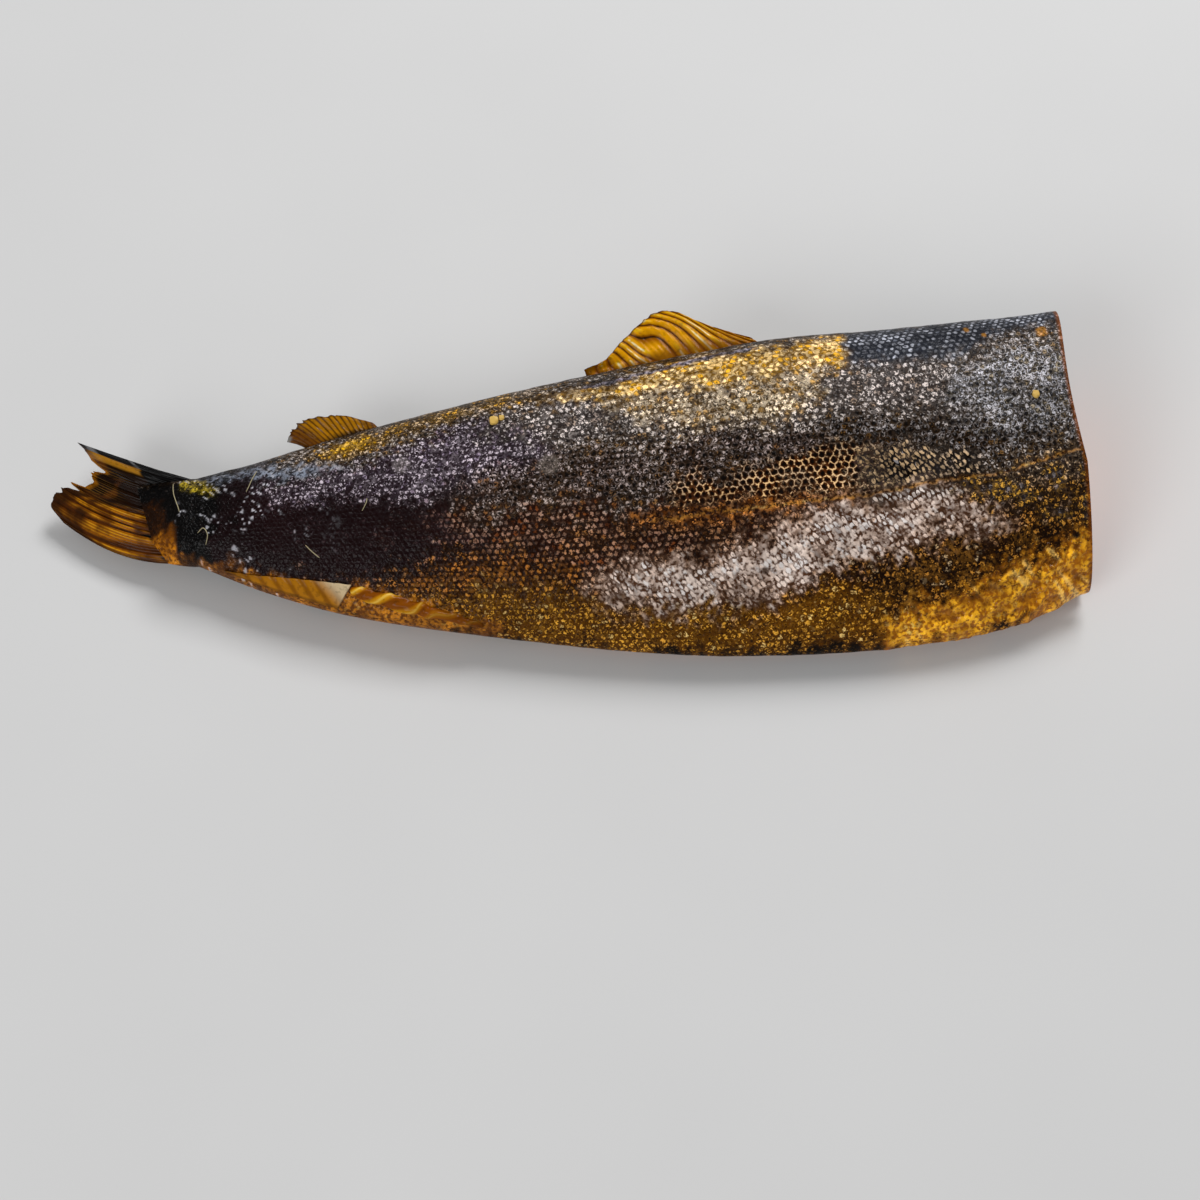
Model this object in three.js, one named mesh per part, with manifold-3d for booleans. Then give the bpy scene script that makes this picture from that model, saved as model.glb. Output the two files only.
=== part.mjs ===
// A smoked fish: gutted, with its head cut off, lying on its side.
// Millimetres, +Z up. +X runs along the fish toward the cut end, -X to the tail,
// +Y to the back and -Y to the belly. The origin is under the middle of the fish.
// A point of the fish is given by x along it, v toward its back and w out of its upper side.
import * as THREE from 'three';
import { mergeVertices } from 'three/addons/utils/BufferGeometryUtils.js';
import Module from 'manifold-3d';

const radians = THREE.MathUtils.degToRad;
const mix = THREE.MathUtils.lerp;
const smooth = THREE.MathUtils.smoothstep;

// Sections of the body from the cut end to the root of the tail fin. back and belly are
// measured from a straight line along the fish, which lies at the height rise above the
// table. roll lifts the back off the table, and wedge makes the belly thinner than the back.
const SECTIONS = [
  { x: 261, back: 88, belly: 61, thick: 63, rise: 30, roll: 17, wedge: 0.26 },
  { x: 225, back: 84, belly: 77, thick: 70, rise: 33, roll: 17, wedge: 0.28 },
  { x: 170, back: 81, belly: 85, thick: 76, rise: 34, roll: 17, wedge: 0.28 },
  { x: 110, back: 79, belly: 86, thick: 77, rise: 34, roll: 17, wedge: 0.28 },
  { x: 40, back: 71, belly: 80, thick: 72, rise: 32, roll: 16, wedge: 0.26 },
  { x: -40, back: 60, belly: 65, thick: 61, rise: 28, roll: 15, wedge: 0.2 },
  { x: -110, back: 49, belly: 48, thick: 47, rise: 23, roll: 13, wedge: 0.14 },
  { x: -155, back: 40, belly: 31, thick: 37, rise: 20, roll: 11, wedge: 0.08 },
  { x: -190, back: 34, belly: 13, thick: 29, rise: 17.5, roll: 10, wedge: 0.02 },
];
const CUT_X = 261;
// The cut leans, so that the belly reaches a little further than the back, and its
// upper half is slightly hollow.
const CUT_LEAN = 0.02;
const CUT_HOLLOW = 4;
const CUT_EASE_X = 200;
const ROOT_X = -190;
const ROOT_ROUNDING = 12;
const ROOT_STEPS = 3;
const STATIONS = 44;
const SKIN_POINTS = 40;
// The underside is pressed flat: what would reach below the table lies on it.
const PRESS_BLEND = 3;
// The middle of the whole outline, which goes over the origin
const MIDDLE = { x: -2.4, y: 5.8 };

// The gut cavity runs from the cut end to the vent, and opens in a slit along the belly.
const VENT_X = -66;
const CAVITY_EASE = 75;
const CAVITY_ROOF = 18;
const CAVITY_HALF_WIDTH = 9;
const SLIT_HALF_WIDTH = 1.6;
const SLIT_ANGLE = 192;
const WALL_POINTS = 9;

// The backbone stands a little proud of the cut face.
const BACKBONE = { v: 30, radius: 8.5, proud: 1.5, sunk: 4, sides: 14 };

// Fins are fans of rays from a root line to a ragged outline. Each list goes across the
// fan, and each entry holds the share of the way across and the place in x and v.
const TAIL_FIN = {
  root: [[0, -184, -9], [1, -184, 31]],
  tips: [[0, -262, 20], [0.1, -267, 28], [0.28, -263, 36], [0.45, -257, 40], [0.62, -249, 43],
    [0.78, -243, 45], [0.88, -246, 51], [1, -250, 55]],
  bow: [-11, -1],
  lift: [[0, -12], [0.3, -9], [0.6, -7], [0.84, -2], [0.92, 7], [1, 9]],
  thick: [9, 1.8],
  edge: 1.2,
  rays: 9,
  ripple: 1.1,
  columns: 27,
  rows: 8,
};
const BACK_FIN = {
  root: [[0, 106, 75], [1, 15, 62]],
  tips: [[0, 98, 82], [0.12, 78, 90], [0.25, 62, 98], [0.38, 51, 98], [0.52, 41, 91],
    [0.68, 32, 83], [0.84, 24, 75], [1, 13, 70]],
  bow: [2, 3],
  lift: [[0, 0], [0.4, 4], [0.8, 3], [1, 5]],
  thick: [5, 2],
  edge: 1.2,
  rays: 9,
  ripple: 1.3,
  columns: 27,
  rows: 6,
};
const FAT_FIN = {
  root: [[0, -92, 47], [1, -126, 39]],
  tips: [[0, -98, 55], [0.25, -112, 59.5], [0.5, -126, 60], [0.72, -137, 57.5], [1, -143, 49]],
  bow: [1, 2],
  lift: [[0, 0], [0.5, 4], [1, 2]],
  thick: [6, 2.2],
  edge: 1.4,
  rays: 4,
  ripple: 0.5,
  columns: 14,
  rows: 5,
};
// The fin behind the vent lies folded up against the upper side, its front corner free.
const VENT_FIN = { rim: [-176, -119], top: [[-162, -24], [-111, -35.5]], lift: 2.2, thick: 3, columns: 12, rows: 4 };
// The skin in front of it is drawn into a twisted fold.
const FOLD = { from: [-112, -37], to: [-46, -60], radius: [5, 2.6], twists: 4.5, depth: 0.16, steps: 22, sides: 8 };

// A smooth value between entries that start with a rising place along the list
function along(list, t) {
  const place = list.map((entry) => entry[0]);
  const last = list.length - 1;
  let i = 0;
  while (i < last - 1 && t > place[i + 1]) i += 1;
  const before = Math.max(i - 1, 0);
  const after = Math.min(i + 2, last);
  const span = place[i + 1] - place[i];
  const f = Math.min(Math.max((t - place[i]) / span, 0), 1);
  return list[i].slice(1).map((_, k) => {
    const value = (n) => list[n][k + 1];
    const leave = ((value(i + 1) - value(before)) * span) / (place[i + 1] - place[before]);
    const arrive = ((value(after) - value(i)) * span) / (place[after] - place[i]);
    return value(i) * (1 + 2 * f) * (1 - f) ** 2 + leave * f * (1 - f) ** 2
      + value(i + 1) * f * f * (3 - 2 * f) + arrive * f * f * (f - 1);
  });
}

const SECTION_LIST = SECTIONS.map((s) => [-s.x, s.back, s.belly, s.thick, s.rise, s.roll, s.wedge]);

// The section of the body at a place along it
function section(x) {
  const [back, belly, thick, rise, roll, wedge] = along(SECTION_LIST, -x);
  return { back, belly, half: thick / 2, rise, roll: radians(roll), wedge };
}

// Where the table stops a point from going lower, with a soft edge to the flat
function press(z) {
  if (z >= PRESS_BLEND) return z;
  if (z <= -PRESS_BLEND) return 0;
  return (z + PRESS_BLEND) ** 2 / (4 * PRESS_BLEND);
}

function place(x, v, w) {
  const s = section(x);
  const y = v * Math.cos(s.roll) - w * Math.sin(s.roll);
  const z = s.rise + v * Math.sin(s.roll) + w * Math.cos(s.roll);
  const up = Math.min(Math.max(v / s.back, 0), 1);
  const short = (CUT_LEAN * v + CUT_HOLLOW * Math.sin(Math.PI * up)) * smooth(x, CUT_EASE_X, CUT_X);
  return new THREE.Vector3(x - short, y, press(z));
}

// The skin at an angle round the section: 0 at the back, 90 on the upper side, 180 at the belly
function skin(x, angle, shrink = 1) {
  const s = section(x);
  const c = Math.cos(angle);
  const v = (c > 0 ? s.back : s.belly) * c;
  const w = s.half * Math.sin(angle) * (1 + s.wedge * c);
  const middle = (s.back - s.belly) / 2;
  return [middle + (v - middle) * Math.sqrt(shrink), w * shrink];
}

// How far the skin of the upper side stands out at a place v toward the back
function flank(x, v) {
  const s = section(x);
  const c = Math.min(Math.max(v / (v > 0 ? s.back : s.belly), -1), 1);
  return s.half * Math.sqrt(1 - c * c) * (1 + s.wedge * c);
}

// Round the skin from the upper belly flap to the lower one, then up one wall of the gut
// cavity, over its roof and down the other. Behind the vent the walls close to one point.
function bodyRing(x) {
  const slit = radians(SLIT_ANGLE);
  const open = smooth(x, VENT_X, VENT_X + CAVITY_EASE);
  const gap = (SLIT_HALF_WIDTH * open) / section(x).half;
  const beyond = Math.max(ROOT_X - x, 0) / ROOT_ROUNDING;
  const shrink = Math.sqrt(1 - beyond ** 2);
  const skinPoints = Array.from({ length: SKIN_POINTS }, (_, j) => {
    const angle = mix(slit - gap, slit + gap - 2 * Math.PI, j / (SKIN_POINTS - 1));
    return place(x, ...skin(x, angle, shrink));
  });
  const wallCount = 2 * WALL_POINTS + 1;
  if (open === 0) {
    skinPoints[SKIN_POINTS - 1] = skinPoints[0].clone();
    return [...skinPoints, ...Array.from({ length: wallCount }, () => skinPoints[0].clone())];
  }
  const [slitV, slitW] = skin(x, slit);
  const roofV = mix(slitV, CAVITY_ROOF, open);
  const walls = Array.from({ length: wallCount }, (_, k) => {
    const side = Math.sign(k - WALL_POINTS);
    const up = 1 - Math.max(Math.abs(k - WALL_POINTS) - 0.5, 0) / WALL_POINTS;
    const swell = Math.sin(Math.PI * up ** 0.8) ** 0.8;
    const half = mix(SLIT_HALF_WIDTH, CAVITY_HALF_WIDTH, swell) * open;
    return place(x, mix(slitV, roofV, up), mix(slitW, 0, up) + side * half);
  });
  return [...skinPoints, ...walls];
}

// A flat end over a ring, each point used once, wound the way the ring goes
function flatEnd(ring) {
  const used = ring.map((_, j) => j).filter((j) => j === 0
    || (ring[j].distanceTo(ring[j - 1]) > 1e-4 && ring[j].distanceTo(ring[0]) > 1e-4));
  const outline = used.map((j) => new THREE.Vector2(ring[j].y, ring[j].z));
  const turn = Math.sign(THREE.ShapeUtils.area(outline));
  return THREE.ShapeUtils.triangulateShape(outline, []).map(([a, b, c]) => {
    const way = Math.sign(THREE.ShapeUtils.area([outline[a], outline[b], outline[c]]));
    return way === turn ? [used[a], used[b], used[c]] : [used[a], used[c], used[b]];
  });
}

// The end of a thin ring, closed from its upper side straight down to its lower side
function stripEnd(ring) {
  const last = ring.length - 1;
  const faces = [];
  for (let j = 0; j < ring.length / 2 - 1; j += 1) {
    faces.push([j, j + 1, last - j - 1], [j, last - j - 1, last - j]);
  }
  return faces;
}

// A closed surface through rings of points
function loft(rings, endFaces) {
  const count = rings[0].length;
  const faces = [];
  for (let i = 0; i + 1 < rings.length; i += 1) {
    for (let j = 0; j < count; j += 1) {
      const a = i * count + j;
      const b = i * count + ((j + 1) % count);
      faces.push([a, b, b + count], [a, b + count, a + count]);
    }
  }
  const top = (rings.length - 1) * count;
  endFaces(rings[0]).forEach(([a, b, c]) => faces.push([a, c, b]));
  endFaces(rings[rings.length - 1]).forEach(([a, b, c]) => faces.push([top + a, top + b, top + c]));
  return surface(rings.flat(), faces);
}

function surface(points, faces) {
  const geometry = new THREE.BufferGeometry();
  geometry.setAttribute('position', new THREE.Float32BufferAttribute(points.flatMap((p) => p.toArray()), 3));
  geometry.setIndex(faces.flat());
  return geometry;
}

function bodySurface() {
  const rings = [];
  for (let i = 0; i <= STATIONS; i += 1) rings.push(bodyRing(mix(CUT_X, ROOT_X, i / STATIONS)));
  for (let i = 1; i <= ROOT_STEPS; i += 1) {
    rings.push(bodyRing(ROOT_X - ROOT_ROUNDING * Math.sin((i / (ROOT_STEPS + 0.5)) * (Math.PI / 2))));
  }
  return loft(rings, flatEnd);
}

// A thin plate: its middle sheet and its thickness at u from the root out and t across
function plate(rows, columns, sheet, thickness) {
  const rings = Array.from({ length: rows + 1 }, (_, i) => {
    const u = i / rows;
    const side = (sign) => Array.from({ length: columns + 1 }, (__, j) => {
      const t = j / columns;
      const [x, v, w] = sheet(u, t);
      return place(x, v, w + (sign * thickness(u, t)) / 2);
    });
    return [...side(1), ...side(-1).reverse()];
  });
  return loft(rings, stripEnd);
}

// A fan of rays, each a raised rib with a furrow to the next
function finSurface(fin) {
  const sheet = (u, t) => {
    const [rootX, rootV] = along(fin.root, t);
    const [tipX, tipV] = along(fin.tips, t);
    const arch = 4 * u * (1 - u) * mix(fin.bow[0], fin.bow[1], t);
    const ray = fin.ripple * Math.sin(2 * Math.PI * fin.rays * t) * smooth(u, 0, 0.4);
    return [mix(rootX, tipX, u), mix(rootV, tipV, u) + arch, along(fin.lift, t)[0] * u + ray];
  };
  const thickness = (u, t) => {
    const edge = smooth(t, 0, 0.06) * (1 - smooth(t, 0.96, 1));
    return mix(fin.edge, mix(fin.thick[0], fin.thick[1], Math.min(2.2 * u, 1)), edge);
  };
  return plate(fin.rows, fin.columns, sheet, thickness);
}

function ventFinSurface() {
  const { rim, top, lift, thick, rows, columns } = VENT_FIN;
  const sheet = (u, t) => {
    const rimX = mix(rim[0], rim[1], t);
    const x = mix(rimX, mix(top[0][0], top[1][0], t), u);
    const v = mix(1 - section(rimX).belly, mix(top[0][1], top[1][1], t), u);
    return [x, v, flank(x, v) + lift * u * t];
  };
  return plate(rows, columns, sheet, (u) => mix(thick, thick / 2, u));
}

function foldSurface() {
  const { from, to, radius, twists, depth, steps, sides } = FOLD;
  const rings = Array.from({ length: steps + 1 }, (_, i) => {
    const t = i / steps;
    const x = mix(from[0], to[0], t);
    const v = mix(from[1], to[1], t);
    const swell = mix(radius[0], radius[1], t) * (0.55 + 0.45 * Math.sin(Math.PI * t));
    return Array.from({ length: sides }, (__, k) => {
      const angle = (2 * Math.PI * k) / sides;
      const r = swell * (1 + depth * Math.cos(2 * angle + 2 * Math.PI * twists * t));
      return place(x, v + r * Math.cos(angle), flank(x, v) + r * Math.sin(angle) - swell / 3);
    });
  });
  return loft(rings, flatEnd);
}

function backboneSurface() {
  const { v, radius, proud, sunk, sides } = BACKBONE;
  const profile = [[0, -sunk], [radius, -sunk], [radius, proud / 3], [radius * 0.7, proud], [0, proud * 0.7]];
  const dome = new THREE.LatheGeometry(profile.map((p) => new THREE.Vector2(...p)), sides);
  const middle = place(CUT_X, v, 0);
  return dome.rotateZ(-Math.PI / 2).translate(middle.x, middle.y, middle.z);
}

const wasm = await Module();
wasm.setup();

// A solid for joining, its faces turned outwards and those without area left out
function solid(geometry) {
  const bare = geometry.clone();
  bare.deleteAttribute('normal');
  bare.deleteAttribute('uv');
  const merged = mergeVertices(bare, 1e-3);
  const points = merged.getAttribute('position');
  const corner = (i) => new THREE.Vector3().fromBufferAttribute(points, i);
  const index = merged.getIndex().array;
  let faces = [];
  let volume = 0;
  for (let i = 0; i < index.length; i += 3) {
    const [a, b, c] = index.slice(i, i + 3);
    if (a === b || b === c || c === a) continue;
    faces.push([a, b, c]);
    volume += corner(a).dot(corner(b).cross(corner(c)));
  }
  if (volume < 0) faces = faces.map(([a, b, c]) => [a, c, b]);
  return new wasm.Manifold(new wasm.Mesh({
    numProp: 3,
    vertProperties: Float32Array.from(points.array),
    triVerts: Uint32Array.from(faces.flat()),
  }));
}

const pieces = [bodySurface(), backboneSurface(), foldSurface(), ventFinSurface(),
  ...[TAIL_FIN, BACK_FIN, FAT_FIN].map(finSurface)];
const whole = pieces.map(solid).reduce((sum, piece) => sum.add(piece));
const joined = whole.getMesh();
const geometry = new THREE.BufferGeometry();
geometry.setAttribute('position', new THREE.BufferAttribute(joined.vertProperties, 3));
geometry.setIndex(new THREE.BufferAttribute(joined.triVerts, 1));
geometry.computeVertexNormals();

const skinMaterial = new THREE.MeshStandardMaterial({ color: 0x4a3420, roughness: 0.4, metalness: 0 });
const smokedFish = new THREE.Mesh(geometry, skinMaterial);
smokedFish.name = 'smoked_fish';
smokedFish.position.set(-MIDDLE.x, -MIDDLE.y, 0);

const fish = new THREE.Group();
fish.add(smokedFish);

export default fish;
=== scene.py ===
"""A smoked fish: gutted, with its head cut off, lying on its side.

Lengths are millimetres until place() turns them into the frame's metres. x runs along the fish
toward the cut, v toward its back and w out of its upper side.
"""

import math

import bpy
import numpy as np
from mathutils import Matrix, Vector


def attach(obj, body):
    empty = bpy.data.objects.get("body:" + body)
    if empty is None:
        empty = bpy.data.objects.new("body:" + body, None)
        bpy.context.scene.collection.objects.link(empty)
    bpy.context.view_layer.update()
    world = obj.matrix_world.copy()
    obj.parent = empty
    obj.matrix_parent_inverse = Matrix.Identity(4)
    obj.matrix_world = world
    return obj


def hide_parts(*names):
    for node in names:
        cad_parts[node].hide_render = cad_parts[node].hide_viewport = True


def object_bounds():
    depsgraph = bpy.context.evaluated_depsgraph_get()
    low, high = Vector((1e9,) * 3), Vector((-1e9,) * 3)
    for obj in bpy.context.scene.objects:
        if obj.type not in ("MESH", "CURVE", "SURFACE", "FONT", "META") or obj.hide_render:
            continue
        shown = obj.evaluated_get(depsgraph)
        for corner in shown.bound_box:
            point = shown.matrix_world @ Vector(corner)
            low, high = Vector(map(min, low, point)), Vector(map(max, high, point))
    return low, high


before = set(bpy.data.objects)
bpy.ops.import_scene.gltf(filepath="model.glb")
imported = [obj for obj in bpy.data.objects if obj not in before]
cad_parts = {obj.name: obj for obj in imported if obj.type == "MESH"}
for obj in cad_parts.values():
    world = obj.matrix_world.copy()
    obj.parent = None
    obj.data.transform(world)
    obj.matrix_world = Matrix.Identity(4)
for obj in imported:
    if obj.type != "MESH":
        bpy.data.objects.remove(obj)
cad_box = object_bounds()

# The body's sections from the tail to the cut: x, then from the line along the fish up to the
# back and down to the belly, the thickness, the height of the line, its roll and the wedge
SECTIONS = [
    (-190, 34, 13, 29, 17.5, 10, 0.02), (-155, 40, 31, 37, 20, 11, 0.08),
    (-110, 49, 48, 47, 23, 13, 0.14), (-40, 60, 65, 61, 28, 15, 0.2),
    (40, 71, 80, 72, 32, 16, 0.26), (110, 79, 86, 77, 34, 17, 0.28),
    (170, 81, 85, 76, 34, 17, 0.28), (225, 84, 77, 70, 33, 17, 0.28),
    (261, 88, 61, 63, 30, 17, 0.26),
]
CUT_X = 261
CUT_LEAN = 0.02
CUT_HOLLOW = 4
CUT_EASE_X = 200
ROOT_X = -190
ROOT_LENGTH = (15, 31)
PRESS_BLEND = 3
MIDDLE = (-2.4, 5.8)
VENT_X = -66
CAVITY_EASE = 75
CAVITY_ROOF = 18
CAVITY_HALF_WIDTH = 9
SLIT_HALF_WIDTH = 1.6
SLIT_ANGLE = 192
BACK_ANGLE = -16
BACKBONE = {"v": 30, "radius": 7.99, "proud": 1.5}
# The lateral line, and the scales' pitch along it
LATERAL = [(-202, -4), (-171, -9), (-95, -15), (-35, -19), (47, -19), (74, -17), (144, -14),
           (164, -12), (184, -9), (215, -6), (236, 0), (261, 7)]
PITCH = [(-202, 2.1), (-120, 2.7), (0, 3.3), (90, 3.6), (200, 3.5), (261, 3.4)]

TAIL_FIN = {
    "root": [(0, -184, -9), (1, -184, 31)],
    "tips": [(0, -262, 20), (0.1, -267, 28), (0.28, -263, 36), (0.45, -257, 40),
             (0.62, -249, 43), (0.78, -243, 45), (0.88, -246, 51), (1, -250, 55)],
    "bow": (-11, -1),
    "lift": [(0, -12), (0.3, -9), (0.6, -7), (0.84, -2), (0.92, 7), (1, 9)],
    "thick": (9, 1.8), "edge": 1.2, "rays": 10, "ripple": 0.7,
    "fine_rays": 37, "fine": 0.16, "ragged": 0.09, "stray": 0.12, "lean": 0.06,
    "torn": (0.3, 0.86),
}
BACK_FIN = {
    "root": [(0, 106, 75), (1, 15, 62)],
    "tips": [(0, 98, 82), (0.12, 78, 90), (0.25, 62, 98), (0.38, 51, 98), (0.52, 41, 91),
             (0.68, 32, 83), (0.84, 24, 75), (1, 13, 70)],
    "bow": (2, 3),
    "lift": [(0, 0), (0.4, 4), (0.8, 3), (1, 5)],
    "thick": (5, 2), "edge": 1.2, "rays": 11, "ripple": 0.7,
    "fine_rays": 31, "fine": 0.12, "ragged": 0.04, "stray": 0.12, "lean": -0.24,
    "torn": (0.35, 2),
}
FAT_FIN = {
    "root": [(0, -92, 47), (1, -126, 39)],
    "tips": [(0, -98, 55), (0.25, -112, 59.5), (0.5, -126, 60), (0.72, -137, 57.5),
             (1, -143, 49)],
    "bow": (1, 2),
    "lift": [(0, 0), (0.5, 4), (1, 2)],
    "thick": (6, 2.2), "edge": 1.4, "rays": 5, "ripple": 0.4,
    "fine_rays": 17, "fine": 0.1, "ragged": 0.08, "stray": 0.06, "lean": 0.1,
    "torn": (0.3, 2),
}
VENT_FIN = {"rim": (-176, -119), "top": ((-162, -24), (-111, -35.5)), "lift": 2.2, "thick": 3,
            "edge": 1.2, "rays": 7, "slant": 0.3}
FOLD = {"from": (-112, -37), "to": (-46, -60), "radius": (5, 2.6), "twists": 4.5, "depth": 0.16}


# Shapes

def mix(a, b, t):
    return a + (b - a) * t


def smooth(value, low, high):
    t = np.clip((value - low) / (high - low), 0, 1)
    return t * t * (3 - 2 * t)


def along(table, t):
    """Smooth values between the rows of a table whose first column rises"""
    table = np.asarray(table, float)
    t = np.asarray(t, float)
    at, rows = table[:, 0], table[:, 1:]
    i = np.clip(np.searchsorted(at, t, side="right") - 1, 0, len(at) - 2)
    before, after = np.maximum(i - 1, 0), np.minimum(i + 2, len(at) - 1)
    span = at[i + 1] - at[i]
    f = np.clip((t - at[i]) / span, 0, 1)[..., None]
    leave = (rows[i + 1] - rows[before]) * (span / (at[i + 1] - at[before]))[..., None]
    arrive = (rows[after] - rows[i]) * (span / (at[after] - at[i]))[..., None]
    return (rows[i] * (1 + 2 * f) * (1 - f) ** 2 + leave * f * (1 - f) ** 2
            + rows[i + 1] * f * f * (3 - 2 * f) + arrive * f * f * (f - 1))


def spread(rows, columns):
    """Two rows of values, spread over a grid"""
    return np.meshgrid(rows, columns, indexing="ij")


def section(x):
    back, belly, thick, rise, roll, wedge = np.moveaxis(along(SECTIONS, x), -1, 0)
    return back, belly, thick / 2, rise, np.radians(roll), wedge


def press(z):
    """The table keeps the underside from going lower."""
    soft = (z + PRESS_BLEND) ** 2 / (4 * PRESS_BLEND)
    return np.where(z >= PRESS_BLEND, z, np.where(z <= -PRESS_BLEND, 0, soft))


def place(x, v, w):
    """Metres in the frame for a place of the fish"""
    x, v, w = np.broadcast_arrays(*(np.asarray(value, float) for value in (x, v, w)))
    back, _, _, rise, roll, _ = section(x)
    y = v * np.cos(roll) - w * np.sin(roll)
    z = rise + v * np.sin(roll) + w * np.cos(roll)
    up = np.clip(v / back, 0, 1)
    short = (CUT_LEAN * v + CUT_HOLLOW * np.sin(np.pi * up)) * smooth(x, CUT_EASE_X, CUT_X)
    return np.stack([x - short - MIDDLE[0], y - MIDDLE[1], press(z)], -1) / 1000


def skin(x, angle, across=1, flat=1):
    """v and w of the skin at an angle: 0 at the back, 90 degrees on top, 180 at the belly"""
    back, belly, half, _, _, wedge = section(x)
    c = np.cos(angle)
    v = np.where(c > 0, back, belly) * c
    w = half * np.sin(angle) * (1 + wedge * c)
    middle = (back - belly) / 2
    return middle + (v - middle) * across, w * flat


def flank(x, v):
    back, belly, half, _, _, wedge = section(x)
    c = np.clip(v / np.where(v > 0, back, belly), -1, 1)
    return half * np.sqrt(1 - c * c) * (1 + wedge * c)


def opening(x):
    return smooth(x, VENT_X, VENT_X + CAVITY_EASE)


# Noise

def noise(x, y, size, seed):
    """Soft bumps of about that size in mm, from 0 to 1"""
    turn = 0.7 + 1.3 * seed
    u = (x * math.cos(turn) - y * math.sin(turn)) / size
    v = (x * math.sin(turn) + y * math.cos(turn)) / size
    i, j = np.floor(u), np.floor(v)
    fu, fv = u - i, v - j
    fu, fv = fu * fu * (3 - 2 * fu), fv * fv * (3 - 2 * fv)

    # Each knot of the net has a height of its own, jumbled from its place and the seed
    def knot(a, b):
        h = (a.astype(np.int64) * 374761393 + b.astype(np.int64) * 668265263
             + seed * 974634777) & 0xFFFFFFFF
        h = ((h ^ (h >> 13)) * 1274126177) & 0xFFFFFFFF
        return ((h ^ (h >> 16)) & 0xFFFF) / 0xFFFF

    low = mix(knot(i, j), knot(i + 1, j), fu)
    high = mix(knot(i, j + 1), knot(i + 1, j + 1), fu)
    return mix(low, high, fv)


def clouds(x, y, size, seed, layers=3):
    total = sum(noise(x, y, size / 2 ** k, seed + 7 * k) / 2 ** k for k in range(layers))
    return total / sum(1 / 2 ** k for k in range(layers))


def ridges(x, y, size, seed):
    """Like clouds, with creases between rounded bumps: 1 on a bump, 0 in a crease"""
    return 1 - np.abs(2 * clouds(x, y, size, seed, 2) - 1) * 2


# Colours, as a painter names them

def srgb(red, green, blue):
    value = np.array([red, green, blue]) / 255
    return np.where(value <= 0.04045, value / 12.92, ((value + 0.055) / 1.055) ** 2.4)


def band(line, ends, soft, dark, light, odd, share, net, plates, grain, base, gloss=0.4,
         patchy=0.0, slant=0.0):
    """A band of the skin. line holds x, v and half its width along it, and ends and soft are how
    far it fades. dark lies deep, light on top, and odd on a share of the scales. net, plates and
    grain are how much light shows round the scales, on them and as fine grain, and slant is 1
    where the scales are long and slanted."""
    return {"line": np.array(line, float), "ends": ends, "soft": soft, "patchy": patchy,
            "colours": [srgb(*dark), srgb(*light), srgb(*odd)],
            "amounts": [share, net, plates, grain, base, gloss, slant]}


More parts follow.
